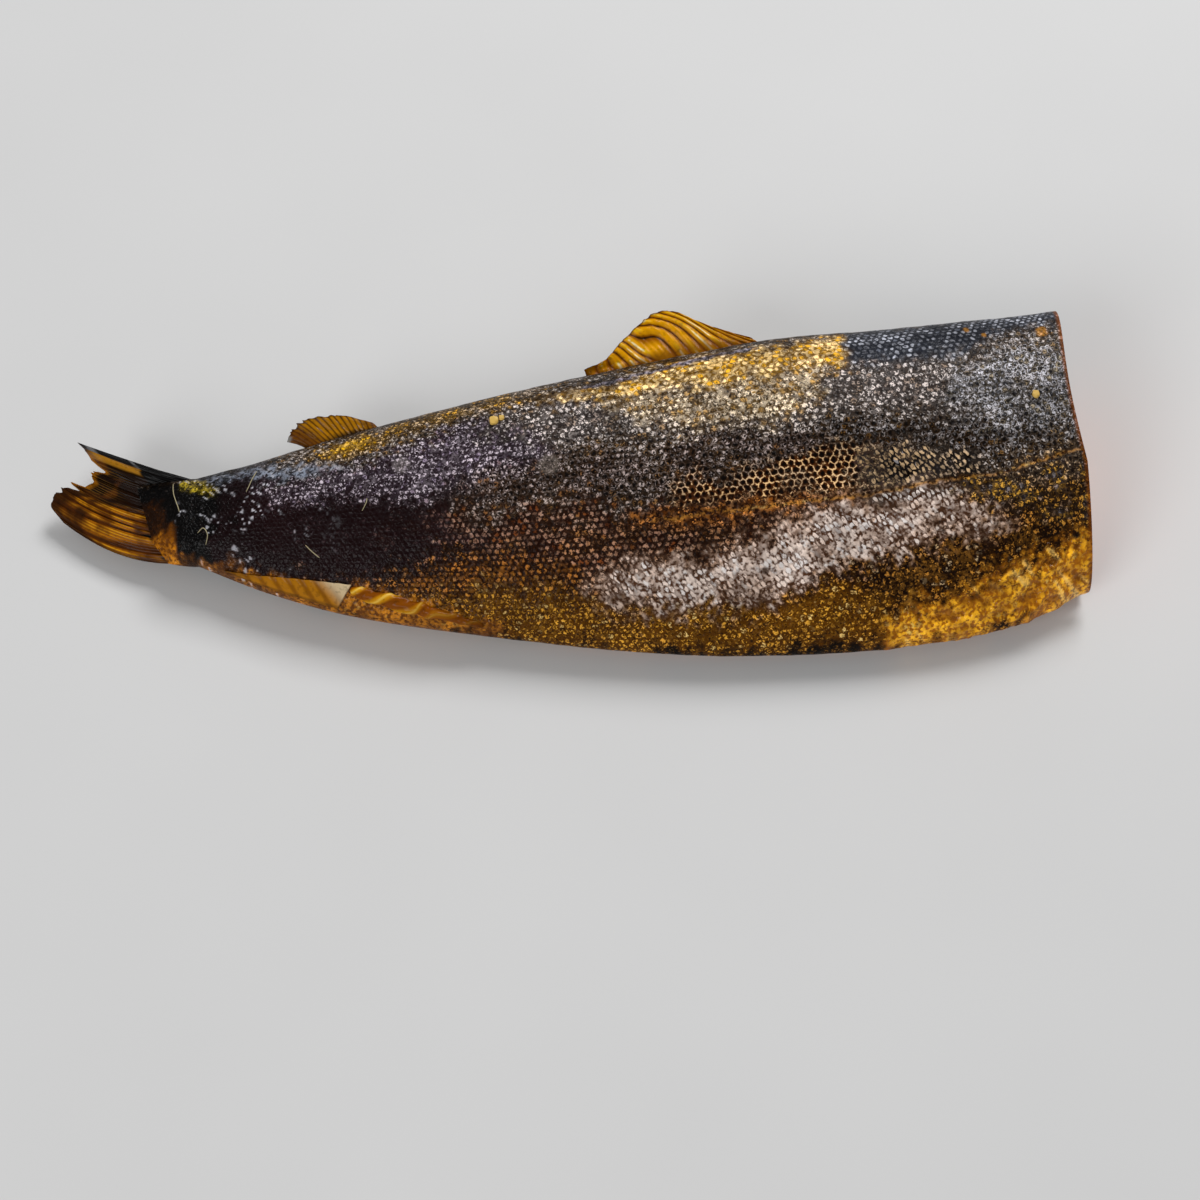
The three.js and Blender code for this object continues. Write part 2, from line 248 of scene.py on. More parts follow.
# The bands, each painted over those before it
BANDS = {
    "flank": band([(-202, 0, 200), (261, 0, 200)], 1, 1,
         (26, 20, 18), (158, 148, 142), (150, 114, 68), 0.2, 0.3, 0.25, 0.9, 0.04),
    "low flank": band([(-202, -70, 62), (-60, -78, 62), (100, -78, 62), (261, -78, 72)], 1, 8,
         (34, 16, 4), (150, 98, 40), (170, 124, 70), 0.15, 0, 0.3, 0.9, 0.1),
    "rear maroon": band([(-202, 8, 60), (-166, 2, 40), (-136, -8, 28), (-105, -14, 24),
         (-60, -12, 16)], 24, 14,
         (26, 6, 7), (92, 72, 76), (120, 108, 118), 0.06, 0.05, 0.03, 0.26, 0.02, 0.5),
    "wrist": band([(-202, 10, 60), (-180, 8, 60)], 10, 12,
         (5, 4, 4), (44, 38, 36), (76, 70, 66), 0.05, 0, 0, 0.35, 0.06, 0.55),
    "amber over the wrist": band([(-225, -7, 14), (-205, -7, 13)], 7, 4,
         (128, 70, 6), (176, 108, 12), (120, 66, 8), 0.1, 0, 0, 0.3, 0.3, 0.5),
    "web over the wrist": band([(-225, 14, 8), (-210, 14, 8)], 6, 3,
         (40, 18, 4), (96, 52, 10), (60, 30, 6), 0.1, 0, 0, 0.3, 0.15, 0.5),
    "rear plum": band([(-150, 16, 8), (-124, 14, 8), (-104, 15, 11), (-73, 18, 15), (-43, 22, 18),
         (-13, 20, 12)], 16, 8,
         (38, 23, 29), (168, 156, 166), (136, 122, 140), 0.2, 0.15, 0.35, 1, 0.15),
    "silver upper": band([(-40, 40, 8), (-1, 37, 13), (20, 38, 12), (60, 36, 12), (98, 36, 14),
         (149, 41, 14), (189, 42, 16), (215, 40, 22)], 24, 10,
         (42, 34, 33), (188, 177, 172), (152, 136, 126), 0.2, 0.2, 0.55, 1, 0.15, patchy=0.3),
    "cream": band([(30, 42, 5), (39, 39, 7), (68, 35, 10), (98, 38, 13), (129, 46, 8)], 12, 9,
         (66, 48, 30), (222, 202, 172), (204, 160, 92), 0.3, 0.35, 0.65, 1, 0.24, patchy=0.25),
    "dark swirl": band([(-50, 6, 5), (-33, 6, 8), (-3, 8, 12), (26, 5, 12), (56, 7, 12.5),
         (86, 8, 15), (116, 12, 7)], 16, 8,
         (14, 8, 6), (150, 134, 130), (112, 78, 50), 0.12, 0.3, 0.05, 0.7, 0.02, patchy=0.3),
    "dark above the honeycomb": band([(130, 18, 4), (146, 19, 6), (171, 17, 6), (196, 15, 9),
         (217, 14, 9), (235, 16, 7)], 10, 6,
         (14, 9, 7), (130, 124, 124), (96, 66, 30), 0.15, 0.35, 0.15, 0.6, 0.02),
    "gold by the fin": band([(0, 50, 3), (20, 51, 4), (40, 54, 7), (60, 56, 9), (80, 57, 10),
         (101, 60, 11), (122, 63, 10), (148, 66, 11)], 10, 6,
         (96, 62, 18), (238, 204, 140), (232, 172, 40), 0.4, 0.5, 0.9, 0.3, 0.25, patchy=0.25),
    "back edge": band([(-202, 36, 4), (-110, 50, 4), (-40, 61, 4), (40, 72, 3), (110, 80, 3.5),
         (150, 81, 3.5), (261, 88, 3)], 1, 4,
         (18, 13, 12), (110, 98, 88), (150, 108, 44), 0.2, 0.2, 0.1, 0.7, 0.05, 0.1, patchy=0.2),
    "gold on the rear back": band([(-134, 30, 2), (-119, 34, 4.5), (-98, 40, 5.5), (-72, 48, 5.5),
         (-41, 52, 6), (-10, 56, 5)], 8, 4,
         (52, 36, 16), (196, 158, 100), (206, 150, 34), 0.35, 0.2, 0.5, 0.9, 0.12, patchy=0.75),
    "bright gold": band([(-117, 37, 2.5), (-98, 42, 3.5)], 5, 4,
         (110, 72, 14), (230, 182, 70), (236, 180, 20), 0.4, 0.1, 0.5, 0.7, 0.3),
    # A painted reflection: a blue-grey streak of gloss just below the back edge near the tail
    "painted grey reflection": band([(-191, 32, 1.5), (-161, 30, 4), (-129, 27, 4)], 14, 5,
         (34, 34, 42), (112, 118, 132), (90, 90, 100), 0.1, 0, 0, 0.8, 0.4, 1),
    "navy shoulder": band([(155, 67, 12), (174, 67, 13), (200, 70, 12), (222, 77, 7), (254, 82, 6)],
         8, 5,
         (16, 19, 30), (156, 158, 168), (112, 116, 128), 0.1, 0.2, 0.6, 0.35, 0.08),
    "steel by the cut": band([(205, 40, 18), (220, 38, 22), (246, 42, 27), (255, 38, 26)], 14, 10,
         (20, 19, 24), (170, 168, 174), (154, 140, 118), 0.15, 0.5, 0.4, 0.9, 0.09, patchy=0.35),
    "honeycomb": band([(50, -5, 9), (75, -8, 7), (110, -4, 10), (135, -2, 13), (155, -1, 13.5),
         (172, -2, 11), (182, -2, 6)], 5, 6,
         (14, 5, 2), (196, 160, 112), (128, 66, 20), 0, 0.85, 0.05, 0, 0.02, patchy=0.35),
    "ovals": band([(154, 0, 8), (168, -1, 11), (184, -1, 7)], 16, 9,
         (16, 8, 3), (170, 142, 108), (140, 136, 138), 0.15, 0, 1, 0.25, 0.03, patchy=0.2, slant=1),
    "red rows": band([(-60, -13, 8), (-45, -17, 13), (-25, -21, 15), (5, -22, 15), (34, -23, 14),
         (64, -25, 10), (94, -23, 7)], 40, 10,
         (34, 11, 4), (140, 104, 84), (110, 58, 26), 0.25, 0.1, 0.75, 0.7, 0.12, patchy=0.4),
    "brown by the line": band([(40, -17, 4), (59, -18, 5), (84, -17, 5), (109, -15, 4),
         (134, -14, 3)], 14, 5,
         (40, 15, 3), (168, 104, 44), (140, 76, 22), 0.2, 0.1, 0.3, 0.8, 0.25),
    "orange dots": band([(-76, -39, 5), (-46, -38, 8), (-16, -41, 8), (13, -45, 8)], 14, 7,
         (46, 20, 4), (156, 96, 34), (136, 84, 40), 0.3, 0, 0.8, 0.7, 0.2, patchy=0.3),
    "olive belly": band([(-77, -52, 6), (-47, -54, 9), (-18, -60, 12), (15, -67, 12), (42, -72, 9),
         (72, -74, 10), (102, -74, 12), (132, -70, 13), (152, -73, 9)], 14, 8,
         (112, 66, 6), (196, 142, 48), (222, 186, 110), 0.12, 0, 0.25, 0.9, 0.15, patchy=0.25),
    "amber low rear": band([(-201, -12, 3), (-175, -22, 4), (-155, -31, 5), (-130, -42, 7),
         (-107, -45, 8), (-77, -54, 8), (-48, -61, 5)], 14, 5,
         (120, 66, 6), (186, 118, 26), (190, 140, 60), 0.1, 0, 0, 0.35, 0.3, 0.7),
    "silver belly": band([(34, -48, 9), (48, -51, 11.5), (68, -50, 12), (90, -47, 13),
         (108, -40, 16.5), (131, -33, 16), (148, -31, 14.5), (168, -28, 13), (182, -24, 11),
         (196, -29, 7), (206, -30, 5)], 20, 10,
         (100, 64, 42), (190, 174, 164), (208, 200, 196), 0.3, 0, 1, 0.1, 0.37, patchy=0.22,
         slant=1),
    "silver under the line": band([(150, -15, 2.4), (179, -15, 2.4), (195, -14, 2)], 10, 2,
         (76, 46, 25), (184, 174, 168), (200, 194, 190), 0.3, 0, 0.9, 0.2, 0.15, patchy=0.3,
         slant=1),
    "umber": band([(142, -53, 6), (162, -55, 11), (180, -51, 11), (198, -47, 10), (216, -43, 9),
         (235, -34, 6)], 12, 7,
         (34, 15, 3), (160, 108, 40), (196, 168, 128), 0.08, 0, 0.3, 0.65, 0.2, patchy=0.3),
    # Painted shade: darker scales along the lower edge of the flank and round under it
    "painted shade under the edge": band([(-60, -66, 4), (-18, -76, 5), (15, -84, 6), (72, -91, 8),
         (132, -93, 9), (152, -93, 7)], 16, 6,
         (18, 8, 2), (100, 68, 24), (140, 100, 44), 0.1, 0, 0.1, 0.5, 0.12),
    "gold by the line": band([(195, -11, 3), (201, -13, 6), (221, -13, 10), (242, -13, 15),
         (257, -12, 17)], 8, 7,
         (28, 14, 5), (196, 146, 56), (120, 112, 112), 0.25, 0.25, 0.4, 0.75, 0.15, patchy=0.6),
    "gold belly end": band([(158, -82, 6), (177, -79, 10), (197, -75, 14), (218, -69, 14),
         (242, -60, 15), (257, -53, 17)], 20, 11,
         (206, 122, 4), (240, 176, 34), (236, 196, 90), 0.05, 0, 0, 0.2, 0.35, 0.9),
    "groove by the fin": band([(15, 55.5, 1.1), (45, 60.5, 1.2), (71, 65, 1.4), (97, 70, 1)],
         5, 1.6,
         (26, 20, 24), (150, 142, 158), (120, 110, 128), 0.3, 0, 0.5, 0.6, 0.3, 0.7),
    "moss": band([(-197, 31, 4), (-188, 27, 4.5), (-179, 22, 3)], 3, 3,
         (58, 50, 4), (176, 152, 40), (120, 100, 10), 0.2, 0, 0.3, 1, 0.35, 0.2, patchy=0.3),
    "lateral line": band([(x, v, 0.7) for x, v in LATERAL[4:]], 10, 1.2,
         (60, 26, 6), (176, 122, 50), (206, 168, 100), 0.2, 0, 0, 0.5, 0.35),
}


def band_mask(one, x, v, around):
    """How much of a band is at each place. around is v, but runs on over the back."""
    line, ends, soft = one["line"], one["ends"], one["soft"]
    xs = x + (clouds(x, around, 26, 3) - 0.5) * 2.4 * ends
    xs = xs + (clouds(x, around, 6, 19) - 0.5) * 2 * min(ends, 12)
    sway = clouds(x, around, 18, 11) + noise(x, around, 2.4, 17) - 1
    vs = v + sway * 1.5 * soft
    middle = np.interp(x, line[:, 0], line[:, 1])
    half = np.interp(x, line[:, 0], line[:, 2])
    side = smooth(half + soft * 0.8 - np.abs(vs - middle), 0, soft * 1.6)
    start = smooth(xs, line[0, 0] - ends, line[0, 0]) if line[0, 0] > -200 else 1
    stop = 1 - smooth(xs, line[-1, 0], line[-1, 0] + ends) if line[-1, 0] < 254 else 1
    holes = 1 - smooth(clouds(x, around, 9, 37), 0.36, 0.6)
    return side * start * stop * (1 - one["patchy"] * holes)


WRINKLED = {"line": np.array([(160, -80, 6), (200, -72, 13), (261, -52, 24)]), "ends": 14,
            "soft": 10, "patchy": 0}


def wrinkles(x, v):
    """The folds of the belly skin by the cut: 1 on a fold, low between them"""
    return ridges(x + 0.5 * v, 2.2 * v - 0.6 * x, 13, 47)


# Marks on the skin: x, v, radius, colour and how strong
MARKS = [
    (252.4, -35.7, 2.6, (30, 16, 6), 0.95), (252.4, -35.7, 1.3, (10, 5, 3), 1),
    (-82.5, 22.2, 5.5, (150, 140, 140), 0.5), (-8.4, 13.7, 6.5, (140, 128, 118), 0.5),
    (-82.5, 22.2, 2.5, (60, 50, 50), 0.5), (-8.4, 13.7, 3, (50, 40, 36), 0.6),
    (208, 73, 2, (206, 140, 40), 0.8), (217, 69, 1.6, (206, 140, 40), 0.8),
    (250, 71, 4, (200, 136, 44), 0.7), (95, -47, 2.4, (44, 24, 10), 0.9),
    (118, -52, 2, (40, 22, 10), 0.9),
]


def over_all(colours, colour, mask):
    """One colour over each of the skin's three, where its mask says"""
    return [mix(old, srgb(*colour), mask[..., None]) for old in colours]


# How strong the dark, light and odd colours are
STRENGTHS = (0.7, 1.8, 1.4)


def paint_skin(x, v, around):
    """The dark, light and odd colours of the skin, and the amounts of each band at each place"""
    colours = [np.zeros(x.shape + (3,)) for _ in range(3)]
    amounts = [np.zeros(x.shape) for _ in range(7)]
    for one in BANDS.values():
        mask = band_mask(one, x, v, around)
        colours = [mix(old, new, mask[..., None]) for old, new in zip(colours, one["colours"])]
        amounts = [mix(old, new, mask) for old, new in zip(amounts, one["amounts"])]
    for mark_x, mark_v, radius, colour, strength in MARKS:
        reach = np.hypot(x - mark_x, around - mark_v) + 0.8 * (noise(x, around, 1.6, 61) - 0.5)
        mask = strength * (1 - smooth(reach, radius * 0.55, radius))
        colours = over_all(colours, colour, mask)
    wrinkled = band_mask(WRINKLED, x, v, around)
    fold = wrinkles(x, around)
    # Painted highlights: short pale diagonal streaks on the folds by the cut
    fold_highlights = smooth(noise(x + 0.9 * around, (around - 0.9 * x) / 6, 2, 71), 0.6, 0.85)
    fold_highlights = 0.75 * wrinkled * fold_highlights * smooth(noise(x, around, 15, 75), 0.48, 0.62)
    # Painted shade: darker amber in the creases between the folds by the cut
    crease = 1 - smooth(fold, -0.2, 0.45)
    colours = over_all(colours, (150, 84, 2), wrinkled * crease * 0.7)
    colours = over_all(colours, (196, 160, 90), fold_highlights)
    # Painted glints: small pale streaks over the rear skin, standing in for wet highlights
    painted_glint = smooth(noise(x + 0.8 * around, (around - 0.8 * x) / 2.2, 1.3, 67), 0.7, 0.84)
    painted_glint = 0.9 * painted_glint * smooth(-x, 105, 150) * smooth(noise(x, around, 9, 69), 0.42, 0.62)
    painted_glint = painted_glint * (1 - smooth(-x, 196, 202))
    colours = over_all(colours, (150, 150, 156), painted_glint)
    rim = smooth(x, CUT_X - 2.4, CUT_X - 1)
    colours = over_all(colours, (132, 70, 18), 0.8 * rim)
    rows = 0.6 + 0.8 * noise(x / 7, around, 1.8, 53)
    amounts[1:4] = [np.clip(amount * rows, 0, 1) for amount in amounts[1:4]]
    shade = (0.6 + 0.8 * clouds(x, around, 20, 23, 4))[..., None]
    amounts[4] = np.clip(amounts[4] * (0.2 + 1.6 * clouds(x, around, 5, 29)), 0, 1)
    # The light colour shows fully under the painted highlights and glints
    amounts[4] = np.maximum(amounts[4], np.maximum(fold_highlights, painted_glint))
    return [strength * shade * old for strength, old in zip(STRENGTHS, colours)], amounts


# Pieces

SEAM_GAP = 1e-6


def laid_grid(name, points, normals=None):
    """A grid of faces laid on points[i, j] in metres; its faces look along i cross j"""
    rows, columns = points.shape[:2]
    points = np.clip(points, *cad_box)
    bpy.ops.object.select_all(action="DESELECT")
    bpy.ops.mesh.primitive_grid_add(x_subdivisions=rows - 1, y_subdivisions=columns - 1, size=2)
    piece = bpy.context.object
    piece.name = piece.data.name = name
    mesh = piece.data
    flat = np.empty(len(mesh.vertices) * 3)
    mesh.vertices.foreach_get("co", flat)
    flat = flat.reshape(-1, 3)
    i = np.rint((flat[:, 0] + 1) / 2 * (rows - 1)).astype(int)
    j = np.rint((flat[:, 1] + 1) / 2 * (columns - 1)).astype(int)
    mesh.vertices.foreach_set("co", points[i, j].ravel())
    for layer in list(mesh.uv_layers):
        mesh.uv_layers.remove(layer)
    bpy.ops.object.shade_smooth()
    if normals is not None:
        mesh.normals_split_custom_set_from_vertices(normals[i, j].tolist())
    mesh.update()
    return piece, i, j


def give_colours(piece, i, j, **layers):
    """Colour layers on the piece's points, each from an array over its grid"""
    for name, values in layers.items():
        layer = piece.data.attributes.new(name, "FLOAT_COLOR", "POINT")
        own = values[i, j]
        filled = np.ones((len(own), 4))
        filled[:, :own.shape[-1]] = own
        layer.data.foreach_set("color", filled.ravel())


def give_uv(piece, i, j, u, v):
    """The place of each point among the scales: u counts rows along the fish, v round it"""
    mesh = piece.data
    layer = mesh.uv_layers.new(name="scales")
    corner = np.empty(len(mesh.loops), int)
    mesh.loops.foreach_get("vertex_index", corner)
    both = np.stack([u[i, j], v[i, j]], -1)
    layer.data.foreach_set("uv", both[corner].ravel())


def close_seams(piece):
    bpy.ops.object.select_all(action="DESELECT")
    piece.select_set(True)
    bpy.context.view_layer.objects.active = piece
    bpy.ops.object.mode_set(mode="EDIT")
    bpy.ops.mesh.select_all(action="SELECT")
    bpy.ops.mesh.remove_doubles(threshold=SEAM_GAP)
    bpy.ops.object.mode_set(mode="OBJECT")


def grid_normals(points):
    across = np.gradient(points, axis=1)
    over = np.gradient(points, axis=0)
    normal = np.cross(over, across)
    length = np.linalg.norm(normal, axis=-1, keepdims=True)
    return normal / np.maximum(length, 1e-12)


def on_fish(piece, material):
    piece.data.materials.clear()
    piece.data.materials.append(material)
    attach(piece, "root")
    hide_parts("smoked_fish")


# Materials

def new_group(name, inputs, outputs):
    group = bpy.data.node_groups.new(name, "ShaderNodeTree")
    for way, sockets in (("INPUT", inputs), ("OUTPUT", outputs)):
        for label, kind in sockets:
            group.interface.new_socket(label, in_out=way, socket_type=f"NodeSocket{kind}")
    return group, Nodes(group)


class Nodes:
    """Adds nodes to a tree, with links or values for their inputs"""

    def __init__(self, tree):
        self.tree = tree

    def add(self, kind, ins=None, **settings):
        node = self.tree.nodes.new(kind)
        for name, value in settings.items():
            setattr(node, name, value)
        for key, value in (ins or {}).items():
            self.put(node.inputs[key], value)
        return node

    def put(self, socket, value):
        if isinstance(value, bpy.types.NodeSocket):
            self.tree.links.new(value, socket)
        else:
            socket.default_value = value

    def math(self, operation, *values):
        node = self.tree.nodes.new("ShaderNodeMath")
        node.operation = operation
        for socket, value in zip(node.inputs, values):
            self.put(socket, value)
        return node.outputs[0]

    def times(self, a, b):
        return self.math("MULTIPLY", a, b)

    def vector(self, operation, *values, output=0):
        node = self.tree.nodes.new("ShaderNodeVectorMath")
        node.operation = operation
        for socket, value in zip(node.inputs, values):
            self.put(socket, value)
        return node.outputs[output]

    def blend(self, factor, a, b, way="MIX"):
        node = self.add("ShaderNodeMix", data_type="RGBA", blend_type=way)
        for index, value in ((0, factor), (6, a), (7, b)):
            self.put(node.inputs[index], value)
        return node.outputs[2]

    def step(self, value, low, high, to_low=0.0, to_high=1.0):
        node = self.add("ShaderNodeMapRange", {0: value, 1: low, 2: high, 3: to_low, 4: to_high},
                        interpolation_type="SMOOTHSTEP")
        return node.outputs[0]

    def noise(self, where, scale, detail, output="Fac"):
        node = self.add("ShaderNodeTexNoise", {"Vector": where, "Scale": scale, "Detail": detail,
                                               "Roughness": 0.5})
        return node.outputs[output]

    def parts(self, name):
        split = self.add("ShaderNodeSeparateColor", {0: self.layer(name)})
        return list(split.outputs)

    def layer(self, name):
        return self.add("ShaderNodeAttribute", attribute_name=name).outputs["Color"]


def scale_lattice():
    """Six-sided cells one unit apart on a UV map, with their rows along u"""
    group, n = new_group("scale lattice", [("Place", "Vector"), ("Stray", "Float")],
                         [("Random", "Float"), ("Second Random", "Float"), ("Edge", "Float"),
                          ("Height", "Float")])
    ins = n.add("NodeGroupInput")
    place_in, stray = ins.outputs["Place"], ins.outputs["Stray"]
    wander = n.noise(place_in, 1.3, 2.0, output="Color")
    centred = n.vector("SUBTRACT", wander, (0.5, 0.5, 0.5))
    strayed = n.add("ShaderNodeVectorMath", {0: centred, "Scale": stray}, operation="SCALE")
    moved = n.vector("MULTIPLY", n.vector("ADD", place_in, strayed.outputs[0]), (1, 0.866, 0))
    size, half = (1, 1.732, 1), (0.5, 0.866, 0)

    def around(where):
        part = n.vector("FRACTION", n.vector("DIVIDE", where, size))
        return n.vector("SUBTRACT", n.vector("MULTIPLY", part, size), half)

    first = around(moved)
    second = around(n.vector("SUBTRACT", moved, half))
    nearer = n.math("LESS_THAN", n.vector("DOT_PRODUCT", first, first, output=1),
                    n.vector("DOT_PRODUCT", second, second, output=1))
    pick = n.add("ShaderNodeMix", data_type="VECTOR", factor_mode="UNIFORM")
    n.put(pick.inputs[0], nearer)
    n.put(pick.inputs[4], second)
    n.put(pick.inputs[5], first)
    offset = pick.outputs[1]
    middle = n.vector("SUBTRACT", moved, offset)
    named = n.vector("SNAP", n.vector("ADD", middle, (0.05, 0.05, 0.05)), (0.1, 0.1, 0.1))
    chance = n.add("ShaderNodeTexWhiteNoise", {"Vector": named}, noise_dimensions="3D")
    split = n.add("ShaderNodeSeparateXYZ", {0: offset})
    across, over = (n.math("ABSOLUTE", split.outputs[k]) for k in (0, 1))
    slanted = n.math("ADD", n.times(across, 0.5), n.times(over, 0.866))
    edge = n.times(n.math("MAXIMUM", across, slanted), 2.0)
    dome = n.math("SUBTRACT", 1.0, n.math("POWER", edge, 3.0))
    tilt = n.times(split.outputs[0], -0.8)
    height = n.times(n.math("ADD", n.math("ADD", dome, tilt), 0.4), 0.6)
    second_chance = n.add("ShaderNodeSeparateColor", {0: chance.outputs["Color"]}).outputs[1]
    n.add("NodeGroupOutput", {"Random": chance.outputs["Value"], "Second Random": second_chance,
                              "Edge": edge, "Height": height})
    return group


def fine_crinkle():
    """Thin crooked lines, dots, dark pores and a crinkle, over places in metres"""
    group, n = new_group("fine crinkle", [("Place", "Vector"), ("Size", "Float")],
                         [("Pores", "Float"), ("Lines", "Float"), ("Dots", "Float"),
                          ("Crinkle", "Float")])
    ins = n.add("NodeGroupInput")
    where = n.add("ShaderNodeVectorMath", {0: ins.outputs["Place"], "Scale": ins.outputs["Size"]},
                  operation="SCALE").outputs[0]
    pores = n.step(n.noise(where, 760.0, 1.0), 0.3, 0.46, 1.0, 0.0)
    level = n.math("ABSOLUTE", n.math("SUBTRACT", n.noise(where, 520.0, 1.0), 0.5))
    lines = n.times(n.step(level, 0.06, 0.12, 1.0, 0.0),
                    n.step(n.noise(where, 430.0, 1.0), 0.35, 0.62, 0.1, 1.0))
    cells = n.add("ShaderNodeTexVoronoi", {"Vector": where, "Scale": 620.0})
    chance = n.add("ShaderNodeSeparateColor", {0: cells.outputs["Color"]}).outputs[0]
    dots = n.times(n.step(cells.outputs["Distance"], 0.26, 0.42, 1.0, 0.0),
                   n.step(chance, 0.25, 0.9))
    crinkle = n.noise(where, 420.0, 1.5)
    n.add("NodeGroupOutput", {"Pores": pores, "Lines": lines, "Dots": dots, "Crinkle": crinkle})
    return group


LATTICE = scale_lattice()
CRINKLE = fine_crinkle()


def new_material(name, **constants):
    material = bpy.data.materials.new(name)
    material.use_nodes = True
    material.node_tree.nodes.clear()
    n = Nodes(material.node_tree)
    shader = n.add("ShaderNodeBsdfPrincipled", constants)
    n.add("ShaderNodeOutputMaterial", {"Surface": shader.outputs[0]})
    return material, n, shader


def use_group(n, group, ins):
    node = n.add("ShaderNodeGroup", node_tree=group)
    for key, value in ins.items():
        n.put(node.inputs[key], value)
    return node


def scaly_skin():
    material, n, shader = new_material("smoked scaly skin", **{
        "Coat Roughness": 0.08, "Specular IOR Level": 0.02})
    uv = n.add("ShaderNodeUVMap", uv_map="scales").outputs[0]
    where = n.add("ShaderNodeTexCoord").outputs["Object"]
    share, net, plates = n.parts("scale_mix")
    grain, base, gloss = n.parts("film_mix")
    slant = n.add("ShaderNodeAttribute", attribute_name="scale_mix").outputs["Alpha"]
    upright = use_group(n, LATTICE, {"Place": uv, "Stray": 0.75})
    turned = n.add("ShaderNodeMapping", {"Vector": uv, "Rotation": (0, 0, 0.44),
                                         "Scale": (0.68, 1.25, 1)}, vector_type="TEXTURE")
    slanted = use_group(n, LATTICE, {"Place": turned.outputs[0], "Stray": 1.1})
    random, second, edge, height = (
        n.math("ADD", n.times(upright.outputs[name], n.math("SUBTRACT", 1.0, slant)),
               n.times(slanted.outputs[name], slant))
        for name in ("Random", "Second Random", "Edge", "Height"))
    fine = use_group(n, CRINKLE, {"Place": where, "Size": 1.2})
    crinkle = fine.outputs["Crinkle"]
    broken = n.step(crinkle, 0.36, 0.56, 0.15, 1.0)
    bright = n.step(second, 0.0, 0.9, 0.45, 1.0)
    line = n.times(n.step(edge, 0.76, 0.9), broken)
    odd = n.math("LESS_THAN", random, share)
    eaten = n.math("ADD", edge, n.times(grain, 0.35))
    plate = n.times(n.step(eaten, 0.62, 0.92, 1.0, 0.0), bright)
    plate = n.times(plate, n.step(crinkle, 0.3, 0.55, 0.45, 1.0))
    specks = n.math("MAXIMUM", fine.outputs["Lines"], fine.outputs["Dots"])
    held = n.times(n.step(edge, 0.62, 0.9, 1.0, 0.3), bright)
    specks = n.times(specks, held)
    amount = n.times(base, n.step(crinkle, 0.32, 0.6, 0.35, 1.4))
    for part, strength in ((line, net), (plate, plates), (specks, grain)):
        amount = n.math("MAXIMUM", amount, n.times(part, strength))
    inside = n.times(odd, n.step(edge, 0.7, 0.84, 1.0, 0.0))
    light = n.blend(inside, n.layer("light_colour"), n.layer("odd_colour"))
    ring = n.times(n.step(edge, 0.4, 0.8), n.times(net, 0.3))
    dark = n.blend(ring, n.layer("dark_colour"), n.layer("odd_colour"))
    colour = n.blend(n.step(amount, 0.12, 0.8), dark, light)
    pores = n.times(fine.outputs["Pores"], n.step(grain, 0.25, 0.6, 0.15, 0.8))
    colour = n.blend(pores, colour, (0.003, 0.002, 0.002, 1))
    n.put(shader.inputs["Base Color"], colour)
    n.put(shader.inputs["Roughness"], n.step(crinkle, 0.2, 0.8, 0.5, 0.24))
    n.put(shader.inputs["Coat Weight"], n.times(n.math("POWER", gloss, 2.0), 0.55))
    height = n.times(height, 0.4)
    for part, strength in ((amount, 0.25), (crinkle, 1.2)):
        height = n.math("ADD", height, n.times(part, strength))
    bump = n.add("ShaderNodeBump", {"Strength": 1.0, "Distance": 0.0006, "Height": height})
    n.put(shader.inputs["Normal"], bump.outputs[0])
    n.put(shader.inputs["Coat Normal"], bump.outputs[0])
    return material


def painted(name, layer, size, pores, coat, rough=(0.45, 0.25), bump=0.0002, extra=None):
    """A finish whose colour is on the piece, with a fine crinkle and a wet coat"""
    material, n, shader = new_material(name, **{"Coat Roughness": 0.1, "Coat Weight": coat,
                                                "Specular IOR Level": 0.03,
                                                **(extra or {})})
    where = n.add("ShaderNodeTexCoord").outputs["Object"]
    crinkle = use_group(n, CRINKLE, {"Place": where, "Size": size})
    colour = n.blend(n.times(crinkle.outputs["Pores"], pores), n.layer(layer),
                     (0.02, 0.01, 0.005, 1), "MULTIPLY")
    n.put(shader.inputs["Base Color"], colour)
    n.put(shader.inputs["Roughness"],
          n.step(crinkle.outputs["Crinkle"], 0.2, 0.8, rough[0], rough[1]))
    height = crinkle.outputs["Crinkle"]
    node = n.add("ShaderNodeBump", {"Strength": 0.7, "Distance": bump, "Height": height})
    n.put(shader.inputs["Normal"], node.outputs[0])
    return material


SKIN = scaly_skin()
FIN = painted("amber fin", "fin_colour", size=0.6, pores=0.25, coat=0.1, bump=0.0003)
FLESH = painted("smoked flesh", "flesh_colour", size=0.9, pores=0.03, coat=0.35,
                rough=(0.5, 0.32), extra={"Subsurface Weight": 0.15, "Subsurface Scale": 0.004,
                                          "Subsurface Radius": (1.0, 0.35, 0.15)})


# The skin

STEP = 0.85
FINE_STEPS = 721
UPPER_COLUMNS, LOWER_COLUMNS = 250, 90
SKIN_PARTS = [("tail", 0, 0.34), ("middle", 0.34, 0.67), ("front", 0.67, 1)]
# The scales' rows: how close they stand against the pitch, and how much they slant
ROW_GAP = 0.9
ROW_SLANT = 0.12
stations = np.concatenate([
    np.linspace(CUT_X, ROOT_X, int((CUT_X - ROOT_X) / STEP) + 1),
    np.linspace(ROOT_X, ROOT_X - ROOT_LENGTH[1], 32)[1:],
])[::-1]


